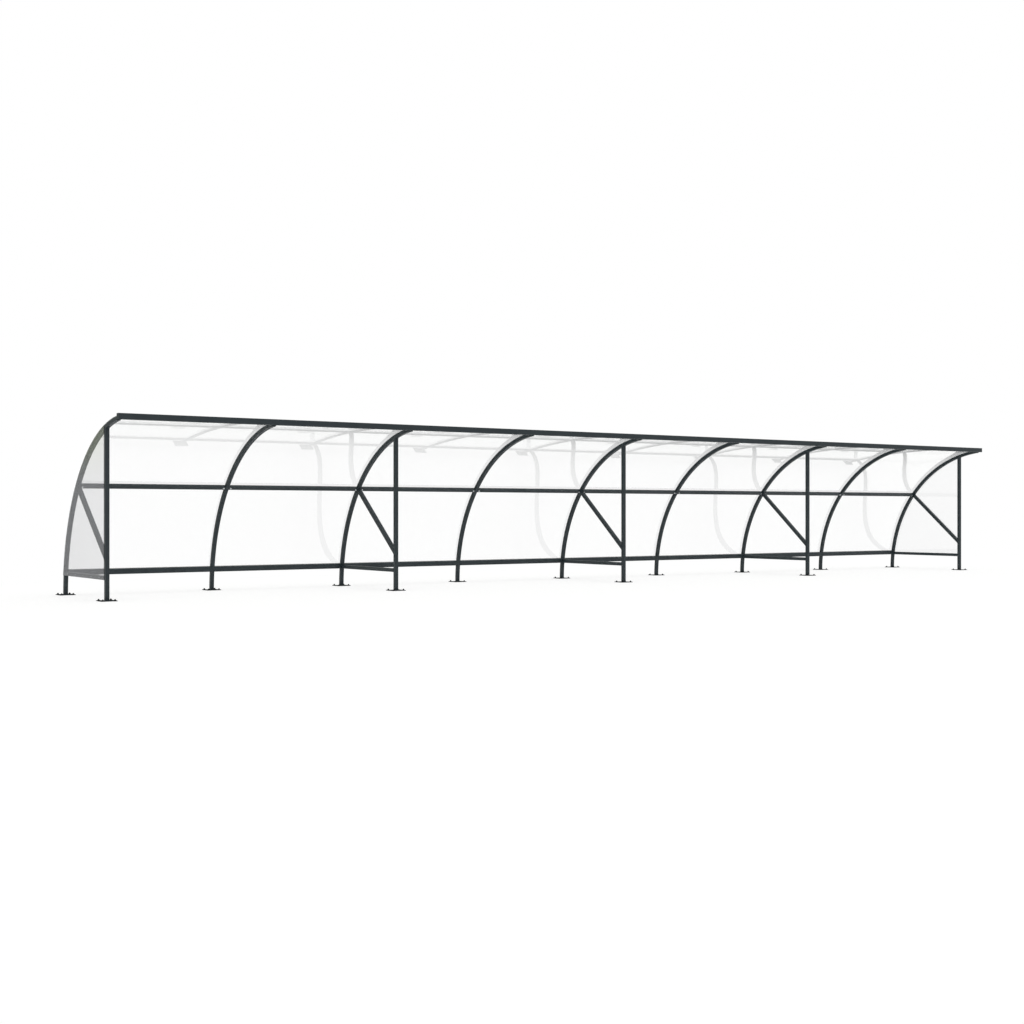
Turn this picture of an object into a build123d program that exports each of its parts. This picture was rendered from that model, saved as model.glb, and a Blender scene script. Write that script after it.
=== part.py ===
"""Free-standing bike shelter with a curved clear roof, built from square steel tube.

Units are millimetres, Z is up and the ground is Z = 0. X runs along the shelter and
+Y points to its closed back. The origin is the middle of the ground area it covers.
"""
import math
import os

from build123d import *

# Driving dimensions
BAY = 4000.0                # from one front post to the next
BAYS = 4
HOOPS_PER_BAY = 2
ARC_RADIUS = 2174.0         # centreline of the curved hoops
ARC_Z = 5.0                 # height of the arc's axis above the ground
POST_TO_FOOT = 1557.0       # from the post's centre back to the hoop's foot
TUBE = 50.0                 # side of the square tube of the frame
TUBE_WALL = 2.5
TUBE_CORNER = 3.0
SHEET = 4.0                 # thickness of the clear sheets
SHEET_GAP = 4.0             # left between two sheets for expansion

# Front beam, measured from the centre of the posts
BEAM_SIDE = 73.0
BEAM_WALL = 3.0
BEAM_CORNER = 5.0
BEAM_FRONT = 480.0          # reach of its front face ahead of the posts
BEAM_TOP = 2228.0
BEAM_CAP = 3.0

# Rails between the hoops
MID_RAIL = 48.0             # side of its square tube
MID_RAIL_ANGLE = 39.8       # where it sits on the arc, up from level
BOTTOM_RAIL_HEIGHT = 70.0
BOTTOM_RAIL_CENTRE = 289.5  # above the ground
CLAMP_STRIP = 5.0           # flat bar that holds the lower edge of the sheets
SIDE_RAIL_BOTTOM = 252.0
BRACE_FOOT = 508.0          # height where the brace meets the centre of the post

# Base plates
PLATE = 200.0
PLATE_THICKNESS = 8.0
ANCHOR_SPACING = 150.0
ANCHOR_HOLE_RADIUS = 7.0
PLATE_CORNER = 6.0

# Derived places
PITCH = BAY / HOOPS_PER_BAY
HOOPS = BAYS * HOOPS_PER_BAY + 1
HALF_LENGTH = BAY * BAYS / 2
HALF_TUBE = TUBE / 2
POST_Y = (BEAM_FRONT - POST_TO_FOOT - PLATE / 2) / 2
FOOT_Y = POST_Y + POST_TO_FOOT
ARC_Y = FOOT_Y - ARC_RADIUS
INNER_RADIUS = ARC_RADIUS - HALF_TUBE
OUTER_RADIUS = ARC_RADIUS + HALF_TUBE
BEAM_FRONT_Y = POST_Y - BEAM_FRONT
BEAM_BACK_Y = BEAM_FRONT_Y + BEAM_SIDE
BEAM_Z = BEAM_TOP - BEAM_SIDE / 2
END_X = HALF_LENGTH + HALF_TUBE
BOTTOM_RAIL_ANGLE = math.degrees(math.asin((BOTTOM_RAIL_CENTRE - ARC_Z) / ARC_RADIUS))
BOTTOM_EDGE_ANGLE = math.degrees(BOTTOM_RAIL_HEIGHT / 2 / ARC_RADIUS)
HOOP_SWEEP = 88.0           # goes past the beam and is cut off at its back face


def hoop_x(number):
    """Place along the shelter of a hoop, counted from 0 at the left end."""
    return number * PITCH - HALF_LENGTH


def block(x0, x1, y0, y1, z0, z1):
    """Plain box between two corners."""
    middle = Pos((x0 + x1) / 2, (y0 + y1) / 2, (z0 + z1) / 2)
    return middle * Box(x1 - x0, y1 - y0, z1 - z0)


def tube_profile(width, height, wall, corner):
    """Section of a rectangular tube with rounded corners."""
    outside = RectangleRounded(width, height, corner)
    inside = RectangleRounded(width - 2 * wall, height - 2 * wall, corner - wall)
    return outside - inside


def long_tube(x0, x1, y, z, height, depth, tilt, wall=TUBE_WALL, corner=TUBE_CORNER):
    """Tube along X, turned by tilt degrees from upright towards the front."""
    profile = tube_profile(depth, height, wall, corner)
    section = Plane.YZ * Rot(0, 0, tilt) * profile
    return Pos(x0, y, z) * extrude(section, amount=x1 - x0)


def curved_plate(x0, x1, radius, thickness, start, end):
    """Plate bent about the axis of the arc, between two angles up from level."""
    near = CenterArc((0, 0), radius, start, end - start)
    far = CenterArc((0, 0), radius + thickness, start, end - start)
    edges = [near, Line(near @ 1, far @ 1), far, Line(far @ 0, near @ 0)]
    section = Plane.YZ * make_face(edges)
    return Pos(x0, ARC_Y, ARC_Z) * extrude(section, amount=x1 - x0)


def arc_disc(x, radius):
    """Thick disc about the axis of the arc, used to cut pieces to its curve."""
    return Pos(x, ARC_Y, ARC_Z) * Rot(0, 90, 0) * Cylinder(radius, 2 * TUBE)


def seat_radius(height, depth):
    """Distance from the arc's axis to the middle of a flat tube that carries a sheet."""
    face = math.sqrt(OUTER_RADIUS**2 - (height / 2) ** 2)
    return face - depth / 2


def arc_point(radius, angle):
    """Y and Z of a point on an arc about the hoops' axis."""
    turn = math.radians(angle)
    return ARC_Y + radius * math.cos(turn), ARC_Z + radius * math.sin(turn)


def hoop(x):
    """Curved tube from the base plate at the back up to the front beam."""
    profile = Pos(x, FOOT_Y, ARC_Z) * tube_profile(TUBE, TUBE, TUBE_WALL, TUBE_CORNER)
    axis = Axis((0, ARC_Y, ARC_Z), (1, 0, 0))
    arc = revolve(profile, axis=axis, revolution_arc=HOOP_SWEEP)
    beyond_beam = block(x - TUBE, x + TUBE, BEAM_BACK_Y - BAY, BEAM_BACK_Y, 0, BEAM_TOP)
    below_plate = block(x - TUBE, x + TUBE, FOOT_Y - TUBE, FOOT_Y + TUBE, -TUBE, PLATE_THICKNESS)
    return arc - beyond_beam - below_plate


def post(x):
    """Upright front tube, its top cut to the underside of the hoop."""
    profile = Pos(x, POST_Y, PLATE_THICKNESS) * tube_profile(TUBE, TUBE, TUBE_WALL, TUBE_CORNER)
    return extrude(profile, amount=ARC_RADIUS) & arc_disc(x, INNER_RADIUS)


def brace(x):
    """Diagonal tube from the post up to the hoop at the middle rail."""
    top_y, top_z = arc_point(ARC_RADIUS, MID_RAIL_ANGLE)
    rise = top_z - BRACE_FOOT
    slope = math.degrees(math.atan2(rise, top_y - POST_Y))
    length = math.hypot(rise, top_y - POST_Y)
    section = Plane.XZ.offset(TUBE) * tube_profile(TUBE, TUBE, TUBE_WALL, TUBE_CORNER)
    bar = extrude(section, amount=-(length + 2 * TUBE))
    bar = Pos(x, POST_Y, BRACE_FOOT) * Rot(slope, 0, 0) * bar
    ahead_of_post = block(x - TUBE, x + TUBE, POST_Y - BAY, POST_Y + HALF_TUBE, 0, BEAM_TOP)
    return (bar & arc_disc(x, INNER_RADIUS)) - ahead_of_post


def side_rail(x):
    """Low tube from the post back to the hoop."""
    section = Plane.XZ * tube_profile(TUBE, TUBE, TUBE_WALL, TUBE_CORNER)
    bar = extrude(section, amount=-POST_TO_FOOT)
    bar = Pos(x, POST_Y + HALF_TUBE, SIDE_RAIL_BOTTOM + HALF_TUBE) * bar
    return bar & arc_disc(x, INNER_RADIUS)


def rails(height, depth, angle):
    """One tube between each two hoops, laid flat against the sheets."""
    y, z = arc_point(seat_radius(height, depth), angle)
    pieces = []
    for number in range(HOOPS - 1):
        start = hoop_x(number) + HALF_TUBE
        end = hoop_x(number + 1) - HALF_TUBE
        pieces.append(long_tube(start, end, y, z, height, depth, angle))
    return pieces


def roof_sheet(number):
    """Clear sheet of one bay, bent over the hoops from the bottom rail to the beam."""
    start = hoop_x(number) + SHEET_GAP / 2 if number > 0 else -END_X
    end = hoop_x(number + 1) - SHEET_GAP / 2 if number < HOOPS - 2 else END_X
    low = BOTTOM_RAIL_ANGLE - BOTTOM_EDGE_ANGLE
    sheet = curved_plate(start, end, OUTER_RADIUS, SHEET, low, HOOP_SWEEP)
    return sheet - block(-END_X, END_X, BEAM_BACK_Y - BAY, BEAM_BACK_Y, 0, BEAM_TOP)


def clamp_strip():
    """Flat bar along the outside of the sheets' lower edge."""
    low = BOTTOM_RAIL_ANGLE - BOTTOM_EDGE_ANGLE
    high = BOTTOM_RAIL_ANGLE + BOTTOM_EDGE_ANGLE
    return curved_plate(-END_X, END_X, OUTER_RADIUS + SHEET, CLAMP_STRIP, low, high)


def end_panel(x0):
    """Flat clear sheet on the outside of an end frame, from the hoop to the post."""
    disc = Plane.YZ * Pos(ARC_Y, ARC_Z) * Circle(OUTER_RADIUS)
    panel = Pos(x0, 0, 0) * extrude(disc, amount=SHEET)
    wanted = block(x0, x0 + SHEET, POST_Y + HALF_TUBE, FOOT_Y + PLATE, SIDE_RAIL_BOTTOM, BEAM_TOP)
    return panel & wanted


def front_beam():
    """Square tube along the front edge of the roof."""
    start = -END_X + BEAM_CAP
    middle_y = BEAM_BACK_Y - BEAM_SIDE / 2
    return long_tube(
        start, -start, middle_y, BEAM_Z, BEAM_SIDE, BEAM_SIDE, 0, BEAM_WALL, BEAM_CORNER
    )


def beam_end_caps():
    """Plates that close the two ends of the front beam."""
    section = Plane.YZ * RectangleRounded(BEAM_SIDE, BEAM_SIDE, BEAM_CORNER)
    cap = Pos(0, BEAM_BACK_Y - BEAM_SIDE / 2, BEAM_Z) * extrude(section, amount=BEAM_CAP)
    return [Pos(-END_X, 0, 0) * cap, Pos(END_X - BEAM_CAP, 0, 0) * cap]


def base_plate(x, y):
    """Foot plate with four anchor holes."""
    holes = GridLocations(ANCHOR_SPACING, ANCHOR_SPACING, 2, 2) * Circle(ANCHOR_HOLE_RADIUS)
    outline = RectangleRounded(PLATE, PLATE, PLATE_CORNER) - holes
    return Pos(x, y, 0) * extrude(outline, amount=PLATE_THICKNESS)


def build_nodes():
    """Every piece of the shelter by its name."""
    hoop_places = [hoop_x(number) for number in range(HOOPS)]
    post_places = hoop_places[::HOOPS_PER_BAY]
    nodes = {}
    for count, x in enumerate(hoop_places, start=1):
        nodes[f"hoop_{count}"] = hoop(x)
    for count, x in enumerate(post_places, start=1):
        nodes[f"post_{count}"] = post(x)
        nodes[f"brace_{count}"] = brace(x)
        nodes[f"side_rail_{count}"] = side_rail(x)
    for number in range(HOOPS - 1):
        nodes[f"roof_sheet_{number + 1}"] = roof_sheet(number)
    nodes["left_end_panel"] = end_panel(-END_X - SHEET)
    nodes["right_end_panel"] = end_panel(END_X)
    mid_rails = rails(MID_RAIL, MID_RAIL, MID_RAIL_ANGLE)
    bottom_rails = rails(BOTTOM_RAIL_HEIGHT, TUBE, BOTTOM_RAIL_ANGLE)
    nodes["mid_rails"] = Compound(children=mid_rails)
    nodes["bottom_rails"] = Compound(children=bottom_rails)
    nodes["bottom_clamp_strip"] = clamp_strip()
    nodes["front_beam"] = front_beam()
    nodes["beam_end_caps"] = Compound(children=beam_end_caps())
    rear_plates = [base_plate(x, FOOT_Y) for x in hoop_places]
    front_plates = [base_plate(x, POST_Y) for x in post_places]
    nodes["rear_base_plates"] = Compound(children=rear_plates)
    nodes["front_base_plates"] = Compound(children=front_plates)
    return nodes


os.makedirs("parts", exist_ok=True)
for name, shape in build_nodes().items():
    export_step(shape, f"parts/{name}.step")
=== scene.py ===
"""Looks of the bike shelter: painted steel, clear sheets and the small fixings on them.

Units are metres. X runs along the shelter, +Y points to its back and Z = 0 is the ground.
"""
import math

import bmesh
import bpy
from mathutils import Matrix, Vector


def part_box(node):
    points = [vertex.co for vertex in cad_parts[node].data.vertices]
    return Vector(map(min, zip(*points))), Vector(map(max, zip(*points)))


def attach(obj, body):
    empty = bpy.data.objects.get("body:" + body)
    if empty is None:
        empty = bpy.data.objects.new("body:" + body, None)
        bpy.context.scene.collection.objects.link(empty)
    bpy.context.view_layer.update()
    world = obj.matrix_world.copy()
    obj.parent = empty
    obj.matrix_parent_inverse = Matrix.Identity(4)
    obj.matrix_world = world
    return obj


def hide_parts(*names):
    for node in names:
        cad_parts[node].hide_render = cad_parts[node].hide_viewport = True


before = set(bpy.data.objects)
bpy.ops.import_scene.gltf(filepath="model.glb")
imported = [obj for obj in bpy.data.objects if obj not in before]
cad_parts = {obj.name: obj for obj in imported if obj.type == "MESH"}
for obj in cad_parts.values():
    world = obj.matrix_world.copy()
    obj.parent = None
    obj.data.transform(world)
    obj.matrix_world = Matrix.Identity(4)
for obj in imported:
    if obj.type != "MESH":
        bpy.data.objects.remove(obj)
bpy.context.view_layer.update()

# Sizes of the frame, read from the model or the same as its driving sizes
HOOPS = 9
POSTS = 5
ARC_RADIUS = 2.174          # centreline of the hoops
ARC_Z = 0.005               # height of the arc's axis above the ground
TUBE_CORNER = 0.003
BRACE_FOOT = 0.508          # height where the brace meets the centre of the post
ANCHOR_REACH = 0.075        # from a plate's middle to its holes
SHEET_SEAT = 0.0003         # a sheet lies this far off the tube that carries it
POST_LOW, POST_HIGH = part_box("post_1")
TUBE = POST_HIGH.x - POST_LOW.x
HALF_TUBE = TUBE / 2
POST_Y = (POST_LOW.y + POST_HIGH.y) / 2
FOOT_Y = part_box("hoop_1")[1].y - HALF_TUBE
ARC_Y = FOOT_Y - ARC_RADIUS
INNER_RADIUS = ARC_RADIUS - HALF_TUBE
OUTER_RADIUS = ARC_RADIUS + HALF_TUBE
BEAM_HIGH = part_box("front_beam")[1]
PLATE_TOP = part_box("front_base_plates")[1].z
STRIP_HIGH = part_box("bottom_clamp_strip")[1]
PANEL_LOW, PANEL_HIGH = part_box("left_end_panel")
SHEET = PANEL_HIGH.x - PANEL_LOW.x
SIDE_RAIL_LOW, SIDE_RAIL_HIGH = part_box("side_rail_1")

# Camera, as solved from the photograph
LENS = 50.0
CAMERA_YAW = 35.04          # degrees from +Y towards +X
CAMERA_PLACE = (-13.808, -17.3245, 1.0678)
CAMERA_SIGHT = 200.0        # how far it sees

# Light: the studio dims towards the back left and is brighter overhead
STUDIO_LEVEL = (0.77, 0.77, 0.77, 1)
STUDIO_LOW = (0.235, 0.235, 0.25, 1)    # back left, at the floor's edge
STUDIO_HIGH = (0.13, 0.165, 0.04, 1)    # back left, just above it
STUDIO_TOP = 0.75           # share added to the light from straight above
TOP_START = 0.1             # rise of a direction where the light starts to grow
DIM_TOWARDS = (-0.316, 0.949, 0.0)
DIM_START = 0.45            # cosine of the angle where the dimming starts
WARM_START = 0.02           # rise where the low colour starts to change to the high one
WARM_FULL = 0.045           # rise where the change is complete
GLOSS_SHARE = 0.3           # how much of the white backdrop glossy surfaces show
FLOOR_COLOUR = (0.95, 0.95, 0.95, 1)
FLOOR_GLOW = 0.65           # share of plain white in the floor where the backdrop shows
FLOOR_X = 22.0              # half the floor's length
FLOOR_FRONT = -30.0
FLOOR_BACK = 4.0

# Meshes
ROUND = 24                  # points round a turned piece
HEX_POINTS = 48             # points round a hexagon with chamfered corners
SHARP_ANGLE = math.radians(32)      # edges that turn more than this stay sharp

# Fixings
WASHER_EDGE = 0.3           # share of a washer's thickness that its broken edge takes
HEX_CHAMFER = 0.08          # height of a hexagon's chamfer, as a share of its flats
HEX_TIP = 0.49              # radius at the chamfer's end, as a share of its flats
HEX_LIMIT = 0.6             # just past a hexagon's corners, as a share of its flats
NUT_FLAT = 0.019            # M12 flanged anchor nuts, across the flats
NUT_HEIGHT = 0.011
NUT_FLANGE = 0.015
NUT_FLANGE_HEIGHT = 0.004
NUT_RIM = NUT_FLANGE_HEIGHT / 3     # upright rim at the foot of the flange
STUD_RADIUS = 0.006
STUD_HEIGHT = 0.018
STUD_TIP = 0.8              # radius of the tip, as a share of the stud's
THREAD_PITCH = 0.00175
THREAD_ROOT = 0.87          # radius at the root, as a share of the stud's
ANCHOR_WASHER = 0.018
ANCHOR_WASHER_THICK = 0.003
RAIL_BOLT_FLAT = 0.016      # M10 bolts at the ends of the rails
RAIL_BOLT_HEIGHT = 0.0065
RAIL_WASHER = 0.012
RAIL_WASHER_THICK = 0.002
RAIL_BOLT_REACH = 0.0495    # from the middle of the hoop
SCREW_FLAT = 0.008          # self-drilling screws of the sheets
SCREW_HEIGHT = 0.0045
SCREW_FLANGE = 0.0065
SCREW_FLANGE_THICK = 0.001
SEAL_WASHER = 0.008
SEAL_WASHER_THICK = 0.002
SCREW_INSET = 0.013         # from the middle of the hoop, through the edge of a sheet
HOOP_SCREWS = 8
RAIL_SCREWS = 3
STRIP_SCREWS = 4
PANEL_ARC_SCREWS = 7
PANEL_RAIL_SCREWS = 5
EDGE_TURN = 2.0             # degrees left free at each end of a row of screws

# Welds
WELD_RADIUS = 0.003
WELD_STEP = 0.0016
WELD_RIPPLE = 0.1           # how far the ripples swell a seam, as a share of its radius
RIPPLE_TURN = math.radians(90)
BEAD_SIDES = 6
POST_SEAM_FROM = 1.0        # a height inside the frame, from which the hoop is met straight up

# Bent hoops
HOOP_PARTS = 120
HOOP_POINT_STEP = 0.0015    # between the points of a hoop's section
CORNER_PARTS = 5            # parts of a tube's rounded corner

# Sheets and seal
SHEET_PARTS = 120
SHEET_BEVEL = 0.0004
SEAL_RADIUS = 0.003
SEAL_END = 0.6              # radius at the seal's ends, as a share of its own

# Materials; noise scales are in waves a metre
NOISE_LOW, NOISE_HIGH = 0.3, 0.7        # values of a noise that are spread over a range
CLOUD_SCALE, CLOUD_DETAIL = 6.0, 4.0
PATCH_SCALE, PATCH_DETAIL = 35.0, 3.0
GLOSS_SWING = 0.05          # how far the roughness swings to either side
GRAIN_DETAIL = 2.0
GRAIN_STRENGTH = 0.35
SHEET_TINT = (0.995, 0.996, 0.996, 1)   # what each face of a sheet lets through
SHEET_IOR = 1.58
WAVE_SCALE, WAVE_DETAIL = 0.9, 1.0
WAVE_STRENGTH = 0.5
WAVE_DEPTH = 0.0004
FINISHES = {
    "frame_paint": {
        "dark": (0.0168, 0.0246, 0.0287, 1), "light": (0.0208, 0.0296, 0.034, 1),
        "rough": 0.42, "specular": 0.27, "metallic": 0.0, "grain": 650.0, "depth": 0.0003,
    },
    "plate_paint": {
        "dark": (0.0145, 0.0195, 0.022, 1), "light": (0.0195, 0.0255, 0.0285, 1),
        "rough": 0.75, "specular": 0.03, "metallic": 0.0, "grain": 500.0, "depth": 0.0004,
    },
    "dark_fixings": {
        "dark": (0.008, 0.0085, 0.009, 1), "light": (0.013, 0.0135, 0.014, 1),
        "rough": 0.7, "specular": 0.06, "metallic": 0.0, "grain": 900.0, "depth": 0.0002,
    },
    "zinc_fixings": {
        "dark": (0.62, 0.64, 0.66, 1), "light": (0.76, 0.78, 0.80, 1),
        "rough": 0.42, "specular": 0.5, "metallic": 1.0, "grain": 800.0, "depth": 0.0002,
    },
    "rubber_seal": {
        "dark": (0.012, 0.012, 0.012, 1), "light": (0.022, 0.022, 0.022, 1),
        "rough": 0.65, "specular": 0.3, "metallic": 0.0, "grain": 1200.0, "depth": 0.0003,
    },
}


def link(obj):
    """Puts a new object into the scene."""
    bpy.context.scene.collection.objects.link(obj)
    return obj


def angle_of(y, z):
    """Turn in radians, up from level, of a point seen from the arc's axis."""
    return math.atan2(z - ARC_Z, y - ARC_Y)


def arc_point(x, radius, turn):
    """Point on an arc about the hoops' axis."""
    return Vector((x, ARC_Y + radius * math.cos(turn), ARC_Z + radius * math.sin(turn)))


def outward(turn):
    """Direction away from the arc's axis."""
    return Vector((0, math.cos(turn), math.sin(turn)))


def box_turn(node):
    """Turn of the middle of a rail on the arc."""
    low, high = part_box(node)
    return angle_of((low.y + high.y) / 2, (low.z + high.z) / 2)


def rail_side(node, turn):
    """Side of a square tube that is turned on the arc, from the height of its box."""
    low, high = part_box(node)
    slack = 2 * TUBE_CORNER * (math.cos(turn) + math.sin(turn) - 1)
    return (high.z - low.z + slack) / (math.cos(turn) + math.sin(turn))


HOOP_X = [sum(corner.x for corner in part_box(f"hoop_{n}")) / 2 for n in range(1, HOOPS + 1)]
POST_X = [sum(corner.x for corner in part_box(f"post_{n}")) / 2 for n in range(1, POSTS + 1)]
END_X = HOOP_X[-1] + HALF_TUBE
MID_TURN = box_turn("mid_rails")
BOTTOM_TURN = box_turn("bottom_rails")
LOW_TURN = math.asin((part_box("roof_sheet_1")[0].z - ARC_Z) / OUTER_RADIUS)
MID_RAIL = rail_side("mid_rails", MID_TURN)


def sheet_end(radius):
    """Turn at which a roof sheet meets the back of the beam."""
    return math.acos((BEAM_HIGH.y - ARC_Y) / radius)


def add_camera():
    """Camera at the photograph's place, level, turned towards the far end."""
    data = bpy.data.cameras.new("view")
    data.lens = LENS
    data.clip_end = CAMERA_SIGHT
    camera = link(bpy.data.objects.new("view", data))
    camera.location = CAMERA_PLACE
    camera.rotation_euler = (math.radians(90), 0, math.radians(-CAMERA_YAW))
    bpy.context.scene.camera = camera


def loft(shape, rings, closed=False):
    """Skin over a row of rings; a row that isn't closed gets a cap at each end."""
    rows = [[shape.verts.new(point) for point in ring] for ring in rings]
    pairs = list(zip(rows, rows[1:]))
    if closed:
        pairs.append((rows[-1], rows[0]))
    count = len(rows[0])
    for near, far in pairs:
        for this in range(count):
            after = (this + 1) % count
            shape.faces.new((near[this], near[after], far[after], far[this]))
    if not closed:
        shape.faces.new(list(reversed(rows[0])))
        shape.faces.new(rows[-1])


def piece(name, shape, material):
    """Finishes a shape as one named piece that rides on the shelter."""
    bmesh.ops.recalc_face_normals(shape, faces=shape.faces)
    mesh = bpy.data.meshes.new(name)
    shape.to_mesh(mesh)
    shape.free()
    for face in mesh.polygons:
        face.use_smooth = True
    mesh.set_sharp_from_angle(angle=SHARP_ANGLE)
    mesh.materials.append(material)
    obj = link(bpy.data.objects.new(name, mesh))
    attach(obj, "root")
    return obj


def standing(point, normal):
    """Place on a surface, with its own Z along the surface's normal."""
    turn = Vector(normal).to_track_quat("Z", "Y").to_matrix().to_4x4()
    return Matrix.Translation(point) @ turn


def round_reach(limit, turn, flat):
    """Reach of a round shape, the same in every direction."""
    return limit


def hex_reach(limit, turn, flat):
    """Reach of a hexagon with rounded-off corners in one direction."""
    sixth = math.radians(60)
    across = (turn % sixth) - sixth / 2
    return min(limit, flat / 2 / math.cos(across))


def turned(shape, place, profile, points=ROUND, reach=round_reach, flat=0.0):
    """Turned shape from pairs of a radius and a height, bottom first."""
    rings = []
    for limit, height in profile:
        ring = []
        for number in range(points):
            turn = 2 * math.pi * number / points
            radius = reach(limit, turn, flat)
            local = Vector((radius * math.cos(turn), radius * math.sin(turn), height))
            ring.append(place @ local)
        rings.append(ring)
    loft(shape, rings)


def disc_profile(radius, bottom, thick):
    """Washer with a broken upper edge."""
    edge = WASHER_EDGE * thick
    return [(radius, bottom), (radius, bottom + thick - edge), (radius - edge, bottom + thick)]


def hex_head(shape, place, flat, bottom, height):
    """Hexagon with its corners chamfered at both ends."""
    chamfer = HEX_CHAMFER * flat
    inner = HEX_TIP * flat
    outer = HEX_LIMIT * flat
    top = bottom + height
    profile = [(inner, bottom), (outer, bottom + chamfer), (outer, top - chamfer), (inner, top)]
    turned(shape, place, profile, HEX_POINTS, hex_reach, flat)


def stud_profile():
    """Threaded end of an anchor with a chamfered tip."""
    rows = []
    turns = int(STUD_HEIGHT / THREAD_PITCH)
    for number in range(turns):
        bottom = number * THREAD_PITCH
        rows.append((THREAD_ROOT * STUD_RADIUS, bottom))
        rows.append((STUD_RADIUS, bottom + THREAD_PITCH / 2))
    rows.append((STUD_TIP * STUD_RADIUS, STUD_HEIGHT))
    return rows


def flange_profile():
    """Sloping skirt at the foot of an anchor nut."""
    bottom = ANCHOR_WASHER_THICK
    return [
        (NUT_FLANGE, bottom), (NUT_FLANGE, bottom + NUT_RIM),
        (NUT_FLAT / 2, bottom + NUT_FLANGE_HEIGHT),
    ]


def plate_middles():
    """Middle of every base plate on its upper face."""
    front = [Vector((x, POST_Y, PLATE_TOP)) for x in POST_X]
    rear = [Vector((x, FOOT_Y, PLATE_TOP)) for x in HOOP_X]
    return front + rear


def add_anchors(dark):
    """Four studs with washer and nut on every base plate."""
    washers = bmesh.new()
    nuts = bmesh.new()
    studs = bmesh.new()
    for middle in plate_middles():
        for right in (-1, 1):
            for back in (-1, 1):
                spot = middle + Vector((right * ANCHOR_REACH, back * ANCHOR_REACH, 0))
                place = standing(spot, (0, 0, 1))
                turned(washers, place, disc_profile(ANCHOR_WASHER, 0, ANCHOR_WASHER_THICK))
                turned(nuts, place, flange_profile())
                hex_head(nuts, place, NUT_FLAT, ANCHOR_WASHER_THICK, NUT_HEIGHT)
                turned(studs, place, stud_profile())
    piece("anchor_washers", washers, dark)
    piece("anchor_nuts", nuts, dark)
    piece("anchor_studs", studs, dark)


def add_rail_bolts(zinc):
    """Bolt head and washer near each end of every middle rail."""
    bolts = bmesh.new()
    face = math.sqrt(OUTER_RADIUS**2 - (MID_RAIL / 2) ** 2) - MID_RAIL
    for number, x in enumerate(HOOP_X):
        for side in (-1, 1):
            if number + side not in range(HOOPS):
                continue
            spot = arc_point(x + side * RAIL_BOLT_REACH, face, MID_TURN)
            place = standing(spot, -outward(MID_TURN))
            turned(bolts, place, disc_profile(RAIL_WASHER, 0, RAIL_WASHER_THICK))
            hex_head(bolts, place, RAIL_BOLT_FLAT, RAIL_WASHER_THICK, RAIL_BOLT_HEIGHT)
    piece("rail_bolts", bolts, zinc)


def screw_places():
    """Where the sheets are screwed to the frame: place and direction of each head."""
    places = []
    face = OUTER_RADIUS + SHEET
    strip_top = 2 * BOTTOM_TURN - LOW_TURN
    first = strip_top + math.radians(EDGE_TURN)
    last = sheet_end(OUTER_RADIUS) - math.radians(EDGE_TURN)
    for number, x in enumerate(HOOP_X):
        for side in (-1, 1):
            if number + side not in range(HOOPS):
                continue
            for row in range(HOOP_SCREWS):
                turn = first + (last - first) * row / (HOOP_SCREWS - 1)
                spot = arc_point(x + side * SCREW_INSET, face, turn)
                places.append(standing(spot, outward(turn)))
    pitch = HOOP_X[1] - HOOP_X[0]
    strip_face = (STRIP_HIGH.y - ARC_Y) / math.cos(LOW_TURN)
    for x in HOOP_X[:-1]:
        for row in range(RAIL_SCREWS):
            along = x + pitch * (row + 1) / (RAIL_SCREWS + 1)
            places.append(standing(arc_point(along, face, MID_TURN), outward(MID_TURN)))
        for row in range(STRIP_SCREWS):
            along = x + pitch * (row + 0.5) / STRIP_SCREWS
            places.append(standing(arc_point(along, strip_face, BOTTOM_TURN), outward(BOTTOM_TURN)))
    return places


def panel_screw_places():
    """Where the end panels are screwed to the end hoops and the low side rails."""
    places = []
    low = math.asin((SIDE_RAIL_HIGH.z - ARC_Z) / ARC_RADIUS) + math.radians(EDGE_TURN)
    high = math.acos((POST_HIGH.y - ARC_Y) / ARC_RADIUS) - math.radians(EDGE_TURN)
    rail_z = (SIDE_RAIL_LOW.z + SIDE_RAIL_HIGH.z) / 2
    for side in (-1, 1):
        face = side * (END_X + SHEET)
        for row in range(PANEL_ARC_SCREWS):
            turn = low + (high - low) * row / (PANEL_ARC_SCREWS - 1)
            places.append(standing(arc_point(face, ARC_RADIUS, turn), (side, 0, 0)))
        for row in range(PANEL_RAIL_SCREWS):
            share = (row + 0.5) / PANEL_RAIL_SCREWS
            y = SIDE_RAIL_LOW.y + (SIDE_RAIL_HIGH.y - SIDE_RAIL_LOW.y) * share
            places.append(standing(Vector((face, y, rail_z)), (side, 0, 0)))
    return places


def add_screws(name, places, zinc, rubber):
    """Screw heads on sealing washers."""
    washers = bmesh.new()
    heads = bmesh.new()
    for place in places:
        turned(washers, place, disc_profile(SEAL_WASHER, 0, SEAL_WASHER_THICK))
        turned(heads, place, disc_profile(SCREW_FLANGE, SEAL_WASHER_THICK, SCREW_FLANGE_THICK))
        bottom = SEAL_WASHER_THICK + SCREW_FLANGE_THICK
        hex_head(heads, place, SCREW_FLAT, bottom, SCREW_HEIGHT)
    piece(f"{name}_washers", washers, rubber)
    piece(f"{name}_heads", heads, zinc)


def resample(points, step):
    """Evenly spaced points round a closed outline, in a multiple of four."""
    closed = points + points[:1]
    lengths = [math.dist(a, b) for a, b in zip(closed, closed[1:])]
    total = sum(lengths)
    count = round(total / step / 4) * 4
    spaced = []
    part = 0
    passed = 0.0
    for number in range(count):
        wanted = total * number / count
        while passed + lengths[part] < wanted:
            passed += lengths[part]
            part += 1
        share = (wanted - passed) / lengths[part] if lengths[part] else 0.0
        a, b = closed[part], closed[part + 1]
        spaced.append((a[0] + (b[0] - a[0]) * share, a[1] + (b[1] - a[1]) * share))
    return spaced


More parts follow.
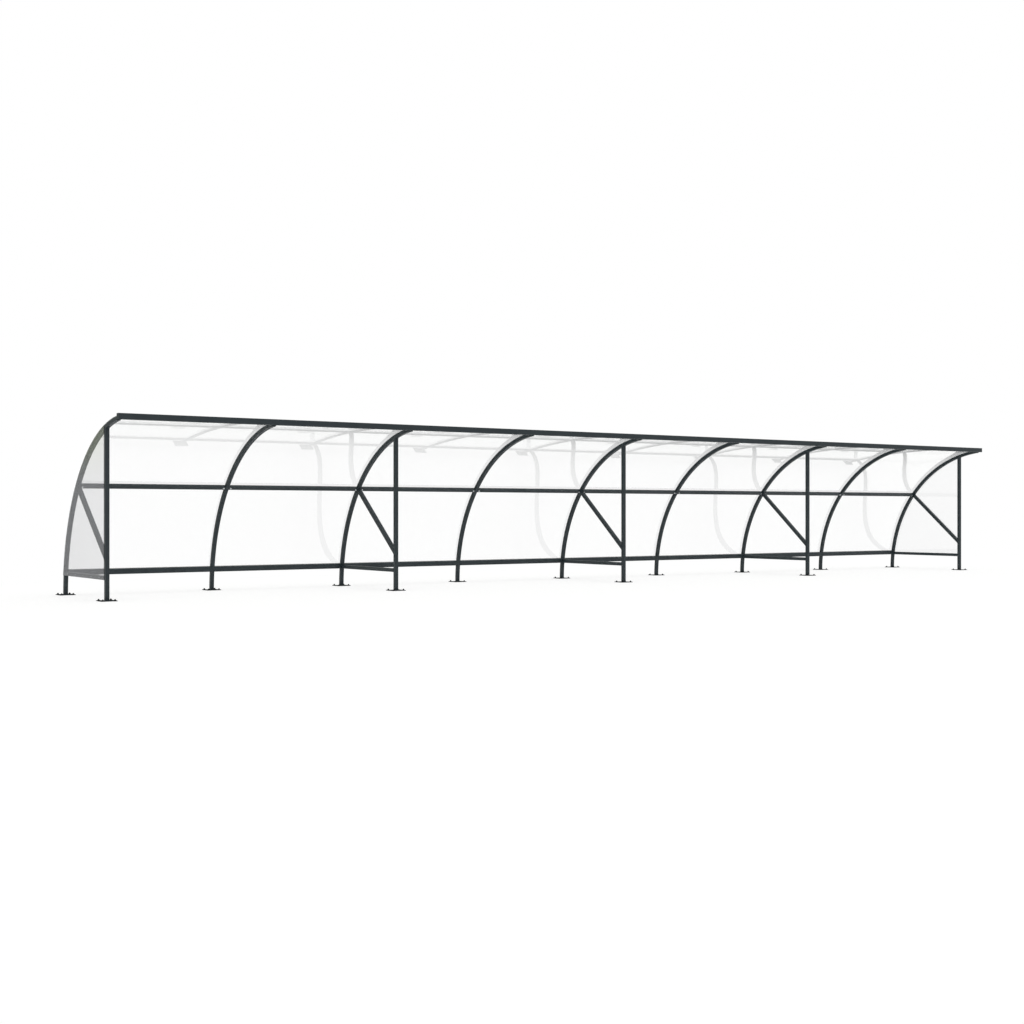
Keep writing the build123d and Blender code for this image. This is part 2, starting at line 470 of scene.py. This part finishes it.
def tube_outline(width, height, step=WELD_STEP):
    """Points round the section of a tube with rounded corners."""
    rough = []
    for quarter, (right, up) in enumerate([(1, 1), (-1, 1), (-1, -1), (1, -1)]):
        middle_u = right * (width / 2 - TUBE_CORNER)
        middle_v = up * (height / 2 - TUBE_CORNER)
        for part in range(CORNER_PARTS + 1):
            turn = math.radians(90) * (quarter + part / CORNER_PARTS)
            u = middle_u + TUBE_CORNER * math.cos(turn)
            v = middle_v + TUBE_CORNER * math.sin(turn)
            rough.append((u, v))
    return resample(rough, step)


def add_bead(shape, path, normal):
    """Weld seam along a closed path, with the small ripples of its passes."""
    rings = []
    count = len(path)
    for number, point in enumerate(path):
        along = (path[(number + 1) % count] - path[number - 1]).normalized()
        side = normal.cross(along).normalized()
        up = along.cross(side)
        radius = WELD_RADIUS * (1 + WELD_RIPPLE * math.sin(number * RIPPLE_TURN))
        ring = []
        for part in range(BEAD_SIDES):
            turn = 2 * math.pi * part / BEAD_SIDES
            ring.append(point + radius * (math.cos(turn) * side + math.sin(turn) * up))
        rings.append(ring)
    loft(shape, rings, closed=True)


def hit_hoop(start, direction):
    """Point where a line in the frame's plane meets the inner face of the hoop."""
    near = Vector((0, start.y - ARC_Y, start.z - ARC_Z))
    along = near.dot(direction)
    rest = near.dot(near) - INNER_RADIUS**2
    return start + direction * (math.sqrt(along**2 - rest) - along)


def add_hoop_seam(shape, start, direction):
    """Weld where a tube that starts inside the frame meets the hoop."""
    across = Vector((1, 0, 0)).cross(direction)
    path = []
    for u, v in tube_outline(TUBE, TUBE):
        path.append(hit_hoop(start + Vector((u, 0, 0)) + across * v, direction))
    middle = hit_hoop(start, direction)
    add_bead(shape, path, outward(angle_of(middle.y, middle.z)))


def add_flat_seam(shape, middle, right, up, height=TUBE):
    """Weld where a tube stands on a flat face."""
    path = [middle + right * u + up * v for u, v in tube_outline(TUBE, height)]
    add_bead(shape, path, right.cross(up))


def add_welds(paint):
    """Seams of the welded frames: feet, posts, braces and side rails."""
    x_axis = Vector((1, 0, 0))
    y_axis = Vector((0, 1, 0))
    z_axis = Vector((0, 0, 1))
    seams = bmesh.new()
    for middle in plate_middles():
        add_flat_seam(seams, middle, x_axis, y_axis)
    brace_top = arc_point(0, ARC_RADIUS, MID_TURN)
    brace_foot = Vector((0, POST_Y, BRACE_FOOT))
    slope = (brace_top - brace_foot).normalized()
    rail_z = (SIDE_RAIL_LOW.z + SIDE_RAIL_HIGH.z) / 2
    for x in POST_X:
        offset = x_axis * x
        add_hoop_seam(seams, offset + Vector((0, POST_Y, POST_SEAM_FROM)), z_axis)
        add_hoop_seam(seams, offset + brace_foot, slope)
        add_hoop_seam(seams, offset + Vector((0, POST_HIGH.y, rail_z)), y_axis)
        add_flat_seam(seams, offset + Vector((0, POST_HIGH.y, rail_z)), x_axis, z_axis)
        foot = offset + brace_foot + slope * (HALF_TUBE / slope.y)
        add_flat_seam(seams, foot, x_axis, z_axis, TUBE / slope.y)
    piece("frame_welds", seams, paint)


def roof_ring(x0, x1, share):
    """Section of a roof sheet with broken edges, at a share of its way up."""
    inner = OUTER_RADIUS + SHEET_SEAT
    outer = OUTER_RADIUS + SHEET
    edge = SHEET_BEVEL
    corners = [
        (x0 + edge, inner), (x1 - edge, inner), (x1, inner + edge), (x1, outer - edge),
        (x1 - edge, outer), (x0 + edge, outer), (x0, outer - edge), (x0, inner + edge),
    ]
    ring = []
    for x, radius in corners:
        turn = LOW_TURN + (sheet_end(radius) - LOW_TURN) * share
        ring.append(arc_point(x, radius, turn))
    return ring


def add_roof_sheets(clear):
    """Smoothly bent clear sheets in place of the solids."""
    for number in range(1, HOOPS):
        node = f"roof_sheet_{number}"
        low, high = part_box(node)
        shape = bmesh.new()
        rings = [roof_ring(low.x, high.x, part / SHEET_PARTS) for part in range(SHEET_PARTS + 1)]
        loft(shape, rings)
        sheet = piece(f"clear_roof_{number}", shape, clear)
        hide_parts(node)


def add_hoops(paint):
    """Smoothly bent square tubes in place of the faceted hoops."""
    section = tube_outline(TUBE, TUBE, HOOP_POINT_STEP)
    for number, x in enumerate(HOOP_X, start=1):
        shape = bmesh.new()
        rings = []
        for part in range(HOOP_PARTS + 1):
            ring = []
            for u, v in section:
                radius = ARC_RADIUS + v
                low = math.asin((PLATE_TOP - ARC_Z) / radius)
                high = math.acos((BEAM_HIGH.y - ARC_Y) / radius)
                ring.append(arc_point(x + u, radius, low + (high - low) * part / HOOP_PARTS))
            rings.append(ring)
        loft(shape, rings)
        bent = piece(f"bent_hoop_{number}", shape, paint)
        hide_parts(f"hoop_{number}")


def panel_outline(inset):
    """Outline of an end panel in Y and Z: along the rail, round the arc and down the post."""
    radius = OUTER_RADIUS - inset
    front = PANEL_LOW.y + inset
    bottom = PANEL_LOW.z + inset
    low = math.asin((bottom - ARC_Z) / radius)
    high = math.acos((front - ARC_Y) / radius)
    points = [(front, bottom)]
    for part in range(SHEET_PARTS + 1):
        spot = arc_point(0, radius, low + (high - low) * part / SHEET_PARTS)
        points.append((spot.y, spot.z))
    return points


def add_end_panels(clear):
    """Flat clear end sheets with broken edges."""
    for node, side in (("left_end_panel", -1), ("right_end_panel", 1)):
        near = side * (END_X + SHEET_SEAT)
        far = side * (END_X + SHEET)
        edge = side * SHEET_BEVEL
        shape = bmesh.new()
        rows = [(near, SHEET_BEVEL), (near + edge, 0.0), (far - edge, 0.0), (far, SHEET_BEVEL)]
        rings = [[Vector((x, y, z)) for y, z in panel_outline(inset)] for x, inset in rows]
        loft(shape, rings)
        panel = piece(f"clear_{node}", shape, clear)
        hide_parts(node)


def add_beam_seal(rubber):
    """Round sealing bead where the roof sheets end at the back of the beam."""
    radius = OUTER_RADIUS + SHEET
    middle = arc_point(0, radius, sheet_end(radius))
    shape = bmesh.new()
    rings = []
    near_end = END_X - SEAL_RADIUS
    stations = [(-END_X, SEAL_END), (-near_end, 1.0), (near_end, 1.0), (END_X, SEAL_END)]
    for x, share in stations:
        ring = []
        for number in range(ROUND):
            turn = 2 * math.pi * number / ROUND
            y = middle.y + SEAL_RADIUS * share * math.cos(turn)
            z = middle.z + SEAL_RADIUS * share * math.sin(turn)
            ring.append(Vector((x, y, z)))
        rings.append(ring)
    loft(shape, rings)
    piece("beam_seal", shape, rubber)


def new_node(tree, kind, values=None, **settings):
    """New node with its settings and the values of its inputs."""
    made = tree.nodes.new(kind)
    for name, value in settings.items():
        setattr(made, name, value)
    for name, value in (values or {}).items():
        made.inputs[name].default_value = value
    return made


def new_material(name):
    """Empty node material with its output."""
    material = bpy.data.materials.new(name)
    material.use_nodes = True
    tree = material.node_tree
    tree.nodes.clear()
    return material, tree, tree.nodes.new("ShaderNodeOutputMaterial")


def noise(tree, coords, scale, detail):
    """Noise in the object's own space."""
    made = new_node(tree, "ShaderNodeTexNoise", {"Scale": scale, "Detail": detail})
    tree.links.new(coords.outputs["Object"], made.inputs["Vector"])
    return made


def spread(tree, source, low, high):
    """Maps a noise to values between low and high."""
    values = {"From Min": NOISE_LOW, "From Max": NOISE_HIGH, "To Min": low, "To Max": high}
    made = new_node(tree, "ShaderNodeMapRange", values)
    tree.links.new(source.outputs[0], made.inputs["Value"])
    return made


def coated_material(name, dark, light, rough, specular, metallic, grain, depth):
    """Surface with a slight cloud of two tones, uneven gloss and a fine grain."""
    material, tree, out = new_material(name)
    coords = new_node(tree, "ShaderNodeTexCoord")
    cloud = noise(tree, coords, CLOUD_SCALE, CLOUD_DETAIL)
    tones = new_node(tree, "ShaderNodeMix", data_type="RGBA")
    tones.inputs["A"].default_value = dark
    tones.inputs["B"].default_value = light
    tree.links.new(spread(tree, cloud, 0.0, 1.0).outputs[0], tones.inputs["Factor"])
    values = {"Specular IOR Level": specular, "Metallic": metallic}
    shader = new_node(tree, "ShaderNodeBsdfPrincipled", values)
    tree.links.new(tones.outputs["Result"], shader.inputs["Base Color"])
    patches = noise(tree, coords, PATCH_SCALE, PATCH_DETAIL)
    gloss = spread(tree, patches, rough - GLOSS_SWING, rough + GLOSS_SWING)
    tree.links.new(gloss.outputs[0], shader.inputs["Roughness"])
    peel = noise(tree, coords, grain, GRAIN_DETAIL)
    bump = new_node(tree, "ShaderNodeBump", {"Strength": GRAIN_STRENGTH, "Distance": depth})
    tree.links.new(peel.outputs[0], bump.inputs["Height"])
    tree.links.new(bump.outputs[0], shader.inputs["Normal"])
    tree.links.new(shader.outputs[0], out.inputs["Surface"])
    return material


def clear_material():
    """Clear solid sheet, with the faint waves that extruded sheets have."""
    material, tree, out = new_material("clear_sheet")
    coords = new_node(tree, "ShaderNodeTexCoord")
    waves = noise(tree, coords, WAVE_SCALE, WAVE_DETAIL)
    bump = new_node(tree, "ShaderNodeBump", {"Strength": WAVE_STRENGTH, "Distance": WAVE_DEPTH})
    tree.links.new(waves.outputs[0], bump.inputs["Height"])
    values = {"Color": SHEET_TINT, "IOR": SHEET_IOR, "Roughness": 0.0}
    glass = new_node(tree, "ShaderNodeBsdfGlass", values)
    tree.links.new(bump.outputs[0], glass.inputs["Normal"])
    through = new_node(tree, "ShaderNodeBsdfTransparent")
    rays = new_node(tree, "ShaderNodeLightPath")
    either = new_node(tree, "ShaderNodeMath", operation="MAXIMUM")
    tree.links.new(rays.outputs["Is Shadow Ray"], either.inputs[0])
    tree.links.new(rays.outputs["Is Diffuse Ray"], either.inputs[1])
    mix = new_node(tree, "ShaderNodeMixShader")
    tree.links.new(either.outputs[0], mix.inputs["Fac"])
    tree.links.new(glass.outputs[0], mix.inputs[1])
    tree.links.new(through.outputs[0], mix.inputs[2])
    tree.links.new(mix.outputs[0], out.inputs["Surface"])
    return material


def backdrop_share(tree):
    """Share of the white backdrop: all of it straight on and through sheets, less in mirrors."""
    rays = new_node(tree, "ShaderNodeLightPath")
    straight = new_node(tree, "ShaderNodeMath", operation="MAXIMUM")
    tree.links.new(rays.outputs["Is Camera Ray"], straight.inputs[0])
    tree.links.new(rays.outputs["Is Transmission Ray"], straight.inputs[1])
    gloss = new_node(tree, "ShaderNodeMath", operation="MULTIPLY")
    gloss.inputs[1].default_value = GLOSS_SHARE
    tree.links.new(rays.outputs["Is Glossy Ray"], gloss.inputs[0])
    share = new_node(tree, "ShaderNodeMix", data_type="FLOAT")
    tree.links.new(rays.outputs["Glossy Depth"], share.inputs["Factor"])
    tree.links.new(straight.outputs[0], share.inputs["A"])
    tree.links.new(gloss.outputs[0], share.inputs["B"])
    return share


def add_world():
    """Soft studio light all round, brighter overhead but not in mirrors, and a white backdrop."""
    world = bpy.data.worlds.new("studio")
    bpy.context.scene.world = world
    world.use_nodes = True
    tree = world.node_tree
    tree.nodes.clear()
    out = new_node(tree, "ShaderNodeOutputWorld")
    coords = new_node(tree, "ShaderNodeTexCoord")
    facing = new_node(tree, "ShaderNodeVectorMath", operation="DOT_PRODUCT")
    facing.inputs[1].default_value = DIM_TOWARDS
    tree.links.new(coords.outputs["Generated"], facing.inputs[0])
    smooth = {"interpolation_type": "SMOOTHSTEP"}
    dim = new_node(tree, "ShaderNodeMapRange", {"From Min": DIM_START}, **smooth)
    tree.links.new(facing.outputs["Value"], dim.inputs["Value"])
    split = new_node(tree, "ShaderNodeSeparateXYZ")
    tree.links.new(coords.outputs["Generated"], split.inputs[0])
    rise = new_node(tree, "ShaderNodeMapRange", {"From Min": WARM_START, "From Max": WARM_FULL})
    tree.links.new(split.outputs["Z"], rise.inputs["Value"])
    corner = new_node(tree, "ShaderNodeMix", data_type="RGBA")
    corner.inputs["A"].default_value = STUDIO_LOW
    corner.inputs["B"].default_value = STUDIO_HIGH
    tree.links.new(rise.outputs[0], corner.inputs["Factor"])
    level = new_node(tree, "ShaderNodeMix", data_type="RGBA")
    level.inputs["A"].default_value = STUDIO_LEVEL
    tree.links.new(dim.outputs[0], level.inputs["Factor"])
    tree.links.new(corner.outputs["Result"], level.inputs["B"])
    values = {"From Min": TOP_START, "To Min": 1.0, "To Max": 1.0 + STUDIO_TOP}
    top = new_node(tree, "ShaderNodeMapRange", values, **smooth)
    tree.links.new(split.outputs["Z"], top.inputs["Value"])
    rays = new_node(tree, "ShaderNodeLightPath")
    lift = new_node(tree, "ShaderNodeMix", data_type="FLOAT")
    lift.inputs["B"].default_value = 1.0
    tree.links.new(rays.outputs["Is Glossy Ray"], lift.inputs["Factor"])
    tree.links.new(top.outputs[0], lift.inputs["A"])
    studio = new_node(tree, "ShaderNodeBackground")
    tree.links.new(level.outputs["Result"], studio.inputs["Color"])
    tree.links.new(lift.outputs[0], studio.inputs["Strength"])
    white = new_node(tree, "ShaderNodeBackground", {"Color": (1, 1, 1, 1), "Strength": 1.0})
    mix = new_node(tree, "ShaderNodeMixShader")
    tree.links.new(backdrop_share(tree).outputs[0], mix.inputs["Fac"])
    tree.links.new(studio.outputs[0], mix.inputs[1])
    tree.links.new(white.outputs[0], mix.inputs[2])
    tree.links.new(mix.outputs[0], out.inputs["Surface"])


def add_floor():
    """Plain white floor that keeps the shelter's soft shadow."""
    corners = [
        (-FLOOR_X, FLOOR_FRONT, 0), (FLOOR_X, FLOOR_FRONT, 0),
        (FLOOR_X, FLOOR_BACK, 0), (-FLOOR_X, FLOOR_BACK, 0),
    ]
    mesh = bpy.data.meshes.new("floor")
    mesh.from_pydata(corners, [], [(0, 1, 2, 3)])
    floor = link(bpy.data.objects.new("floor", mesh))
    material, tree, out = new_material("floor_white")
    diffuse = new_node(tree, "ShaderNodeBsdfDiffuse", {"Color": FLOOR_COLOUR})
    glow = new_node(tree, "ShaderNodeEmission", {"Color": (1, 1, 1, 1), "Strength": 1.0})
    share = new_node(tree, "ShaderNodeMath", operation="MULTIPLY")
    share.inputs[1].default_value = FLOOR_GLOW
    tree.links.new(backdrop_share(tree).outputs[0], share.inputs[0])
    mix = new_node(tree, "ShaderNodeMixShader")
    tree.links.new(share.outputs[0], mix.inputs["Fac"])
    tree.links.new(diffuse.outputs[0], mix.inputs[1])
    tree.links.new(glow.outputs[0], mix.inputs[2])
    tree.links.new(mix.outputs[0], out.inputs["Surface"])
    mesh.materials.append(material)


add_camera()
coats = {name: coated_material(name, **finish) for name, finish in FINISHES.items()}
paint = coats["frame_paint"]
plate_paint = coats["plate_paint"]
dark_steel = coats["dark_fixings"]
zinc_steel = coats["zinc_fixings"]
rubber = coats["rubber_seal"]
clear = clear_material()
for cad_name, cad_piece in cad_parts.items():
    cad_piece.data.materials.clear()
    cad_piece.data.materials.append(plate_paint if "base_plates" in cad_name else paint)
add_hoops(paint)
add_roof_sheets(clear)
add_end_panels(clear)
add_beam_seal(rubber)
add_anchors(dark_steel)
add_rail_bolts(zinc_steel)
add_screws("sheet_screw", screw_places(), zinc_steel, rubber)
add_screws("panel_screw", panel_screw_places(), zinc_steel, rubber)
add_welds(paint)
add_floor()
add_world()
bpy.context.scene.view_settings.view_transform = "Standard"
